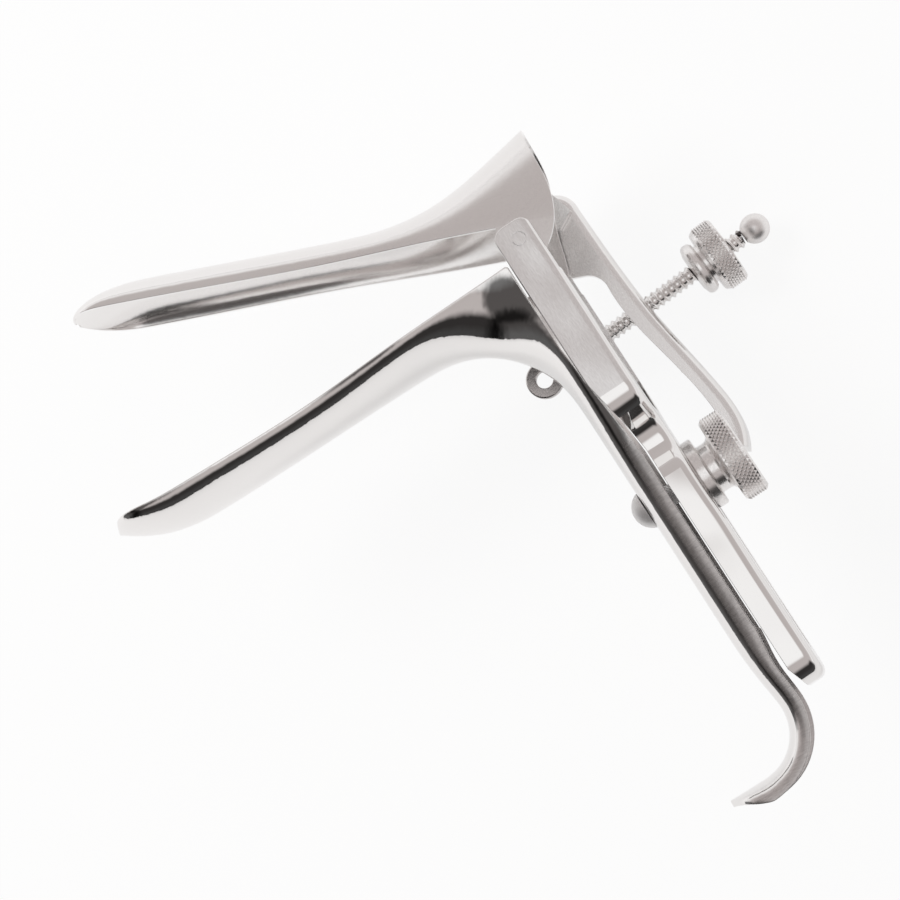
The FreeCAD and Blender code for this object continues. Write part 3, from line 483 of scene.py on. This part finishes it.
# %% Lower blade and strip
STRIP_TOP = -44.0
STRIP_FULL = -56.0
STRIP_SATIN = (0.66, 0.635, 0.625, 1.0)


def lower_satin(tree, place, facing):
    side = math_node(tree, "ABSOLUTE", facing["Z"], 0.0)
    return every(tree, fade(tree, side, 0.8, 0.95), fade(tree, place["Y"], STRIP_TOP, STRIP_FULL))


dress("lower_blade", steel("lower_steel", lower_satin, stretch=(0.6, 14.0, 0.6), satin=STRIP_SATIN,
                           satin_roughness=0.34, scratch=0.28, edge=0.55))

# %% Thumb lever
LEVER_SATIN = (0.97, 0.96, 0.955, 1.0)


def lever_satin(tree, place, facing):
    side = math_node(tree, "ABSOLUTE", facing["Z"], 0.0)
    return fade(tree, side, 0.75, 0.95)


dress("thumb_lever", steel("lever_steel", lever_satin, stretch=(9.0, 0.9, 9.0), satin=LEVER_SATIN, scratch=0.05,
                           satin_roughness=0.26))

# %% Small plain pieces
# both places are far past every piece, so the mask is full all over
ALL_FROM = -900.0
ALL_FULL = -800.0
SMALL_SATIN = (0.90, 0.88, 0.87, 1.0)
STUD_SATIN = (0.97, 0.96, 0.955, 1.0)
BALL_SATIN = (0.92, 0.90, 0.89, 1.0)


def all_satin(tree, place, facing):
    return fade(tree, place["Z"], ALL_FROM, ALL_FULL)


small = steel("small_steel", all_satin, stretch=(3.0, 3.0, 3.0), satin=SMALL_SATIN, satin_roughness=0.4, scratch=0.1)
dress("near_hinge_pin", arm_steel)
for name in ("far_hinge_pin", "rod_lug"):
    dress(name, small)
dress("lock_stud", steel("stud_steel", all_satin, stretch=(3.0, 3.0, 3.0), satin=STUD_SATIN, satin_roughness=0.62,
                         scratch=0.05))
dress("ball_end", steel("ball_steel", all_satin, stretch=(2.0, 8.0, 8.0), satin=BALL_SATIN, satin_roughness=0.38,
                        scratch=0.1))

# %% [markdown]
# ## The threaded rod
# A real screw thread is one groove wound round a bar. We draw one pitch of its profile, root to crest to root, and let
# spin sweep it round the rod while moving it along by one pitch a turn. The end of each turn then meets the start of
# the next, and merging them leaves one continuous thread. The plain neck and the flat eye at the front are spun too.

# %% Piece helpers


def new_piece(name, bm, body, material, place, smooth_angle):
    """Turn a bmesh drawn in a millimetre frame into an object at the origin that rides on a body."""
    bmesh.ops.transform(bm, matrix=place, verts=bm.verts)
    bmesh.ops.recalc_face_normals(bm, faces=bm.faces)
    mesh = bpy.data.meshes.new(name)
    bm.to_mesh(mesh)
    bm.free()
    piece = bpy.data.objects.new(name, mesh)
    bpy.context.scene.collection.objects.link(piece)
    mesh.materials.append(material)
    mesh.shade_smooth()
    mesh.set_sharp_from_angle(angle=math.radians(smooth_angle))
    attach(piece, body)
    print(name, "has", len(mesh.polygons), "faces")
    return piece


def chain(bm, points):
    """Connected edges through points of the XY plane; returns all their geometry for a spin."""
    verts = [bm.verts.new((x, y, 0.0)) for x, y in points]
    edges = [bm.edges.new(pair) for pair in zip(verts, verts[1:])]
    return verts + edges


def turned(bm, points, steps):
    """Spin a profile of (along, radius) points right round the X axis."""
    bmesh.ops.spin(bm, geom=chain(bm, points), cent=(0.0, 0.0, 0.0), axis=(1.0, 0.0, 0.0), angle=math.tau, steps=steps,
                   use_merge=True, use_duplicate=False)
    bmesh.ops.remove_doubles(bm, verts=bm.verts, dist=1e-4)


# %% Threaded rod
PITCH = 1.7
CREST = 2.3
ROOT = 1.72
TURN_STEPS = 28
NECK = 1.7
NECK_START = -7.3
NECK_END = 5.5
THREAD_END = 49.2
EYE_CENTRE = -10.7
EYE_OUTER = 4.65
EYE_HOLE = 2.2
EYE_HALF = 1.2
EYE_ROUND = 0.25
RIM_ROUND = 0.3
EYE_SATIN = (0.62, 0.585, 0.575, 1.0)
THREAD_MIRROR = (0.88, 0.86, 0.85, 1.0)
CENTRE = (0.0, 0.0, 0.0)

rod = bmesh.new()
turns = int((THREAD_END - NECK_END) / PITCH) + 1
start = THREAD_END - turns * PITCH - PITCH
pitch_profile = [(0.0, ROOT), (0.22, ROOT), (0.68, CREST - 0.08), (0.85, CREST), (1.02, CREST - 0.08), (1.48, ROOT),
                 (PITCH, ROOT)]
one_pitch = chain(rod, [(start + x, r) for x, r in pitch_profile])
bmesh.ops.spin(rod, geom=one_pitch, cent=CENTRE, axis=(1.0, 0.0, 0.0), dvec=(PITCH / TURN_STEPS, 0.0, 0.0),
               angle=math.tau * turns, steps=TURN_STEPS * turns, use_merge=False, use_duplicate=False)
bmesh.ops.remove_doubles(rod, verts=rod.verts, dist=1e-3)
bmesh.ops.holes_fill(rod, edges=[e for e in rod.edges if e.is_boundary], sides=0)
neck = [(NECK_START, 0.0), (NECK_START, NECK), (NECK_END - 0.4, NECK), (NECK_END, CREST - 0.3), (NECK_END, 0.0)]
turned(rod, neck, 32)
for_eye = [(EYE_HOLE, -EYE_HALF + EYE_ROUND), (EYE_HOLE + EYE_ROUND, -EYE_HALF),
           (EYE_OUTER - RIM_ROUND, -EYE_HALF), (EYE_OUTER, -EYE_HALF + RIM_ROUND),
           (EYE_OUTER, EYE_HALF - RIM_ROUND), (EYE_OUTER - RIM_ROUND, EYE_HALF),
           (EYE_HOLE + EYE_ROUND, EYE_HALF), (EYE_HOLE, EYE_HALF - EYE_ROUND)]
ring_verts = [rod.verts.new((EYE_CENTRE + r, 0.0, z)) for r, z in for_eye]
ring_edges = [rod.edges.new((a, b)) for a, b in zip(ring_verts, ring_verts[1:] + ring_verts[:1])]
bmesh.ops.spin(rod, geom=ring_verts + ring_edges, cent=(EYE_CENTRE, 0.0, 0.0), axis=(0.0, 0.0, 1.0),
               angle=math.tau, steps=48, use_merge=True, use_duplicate=False)
bmesh.ops.remove_doubles(rod, verts=rod.verts, dist=1e-4)


def eye_satin(tree, place, facing):
    return fade(tree, place["X"], -8.0, -10.0)


rod_steel = steel("rod_steel", eye_satin, stretch=(3.0, 3.0, 3.0), satin=EYE_SATIN, satin_roughness=0.28, scratch=0.2,
                  edge=0.08, mirror=THREAD_MIRROR, mirror_roughness=0.14)
rod_piece = new_piece("rod_with_thread", rod, body_of(nodes["threaded_rod"])[0], rod_steel, ROD, 40.0)
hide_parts("threaded_rod")

# %% [markdown]
# ## Knurled nuts
# A knurl is a field of small diamonds rolled into the rim. The rim's profile gets a point for every half diamond, and
# after the spin every second vertex of this grid is raised, like the black squares of a chessboard. Each quad is then
# split between its two low corners, so every raised point becomes a small pyramid. The rest of the profile is the
# turned collar or flange, in the same spin.

# %% Knurled nut helper
KNURL_HEIGHT = 0.5


def knurled_nut(front, knurl, rear, radius, steps, rows):
    """A spun profile with diamonds between the two knurl positions; front and rear are its plain points."""
    low, high = knurl
    band = [(low + (high - low) * row / rows, radius - KNURL_HEIGHT) for row in range(rows + 1)]
    bm = bmesh.new()
    turned(bm, front + band + rear, steps)
    step = math.tau / steps
    gap = (high - low) / rows
    grid = {}
    for vert in bm.verts:
        far_out = math.hypot(vert.co.y, vert.co.z)
        if low - 1e-3 < vert.co.x < high + 1e-3 and abs(far_out - radius + KNURL_HEIGHT) < 1e-3:
            row = round((vert.co.x - low) / gap)
            column = round(math.atan2(vert.co.z, vert.co.y) / step) % steps
            grid[vert] = (row, column)
    raised = [v for v, (row, column) in grid.items() if (row + column) % 2 == 0 and 0 < row < rows]
    lowered = {v for v in grid if v not in set(raised)}
    for face in [f for f in bm.faces if all(v in grid for v in f.verts)]:
        corners = list(face.verts)
        even = [v for v in corners if sum(grid[v]) % 2 == 1]
        if len(even) == 2:
            bmesh.utils.face_split(face, even[0], even[1])
    for vert in raised:
        push = radius / (radius - KNURL_HEIGHT)
        vert.co.y *= push
        vert.co.z *= push
    print("diamonds raised:", len(raised), "of", len(raised) + len(lowered))
    return bm


# %% Lever nut
NUT_FRONT = 34.0
NUT_BORE = 2.35
collar = [(NUT_FRONT + x, r) for x, r in (
    (0.0, NUT_BORE), (0.0, 4.6), (0.25, 5.4), (0.5, 6.2), (0.9, 6.6), (1.4, 6.8), (2.1, 6.8), (2.8, 6.6), (3.4, 6.0),
    (3.4, 5.2), (4.2, 5.2), (4.2, 7.6), (4.4, 8.0), (5.1, 8.4))]
behind = [(44.3, 8.3), (44.4, 8.0), (44.4, NUT_BORE), (NUT_FRONT, NUT_BORE)]
nut = knurled_nut(collar, (39.2, 44.1), behind, 8.9, 92, 8)
knurl_steel = steel("knurl_steel", all_satin, stretch=(3.0, 3.0, 3.0), satin=SMALL_SATIN, satin_roughness=0.22,
                    scratch=0.1, edge=0.05)
nut_piece = new_piece("knurled_lever_nut", nut, body_of(nodes["lever_nut"])[0], knurl_steel, ROD, 9.0)
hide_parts("lever_nut")

# %% Lock nut
LOCK_Y = -65.5
LOCK_FRONT = 4.45
LOCK_BORE = 2.55
flange = [(LOCK_FRONT + x, r) for x, r in (
    (0.0, LOCK_BORE), (0.0, 8.35), (0.25, 8.6), (2.2, 8.6), (2.5, 8.3), (2.5, 6.3), (2.8, 6.0), (4.8, 6.0), (5.3, 6.2),
    (5.8, 6.7), (6.1, 7.4), (6.1, 10.0))]
knob_rear = [(LOCK_FRONT + x, r) for x, r in ((11.9, 10.2), (12.1, 9.9), (12.1, LOCK_BORE), (0.0, LOCK_BORE))]
knob = knurled_nut(flange, (LOCK_FRONT + 6.5, LOCK_FRONT + 11.7), knob_rear, 10.9, 112, 8)
lock_place = INSTRUMENT @ Matrix.Translation((0.0, LOCK_Y, 0.0))
lock_piece = new_piece("knurled_lock_nut", knob, body_of(nodes["lock_nut"])[0], knurl_steel, lock_place, 9.0)
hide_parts("lock_nut")
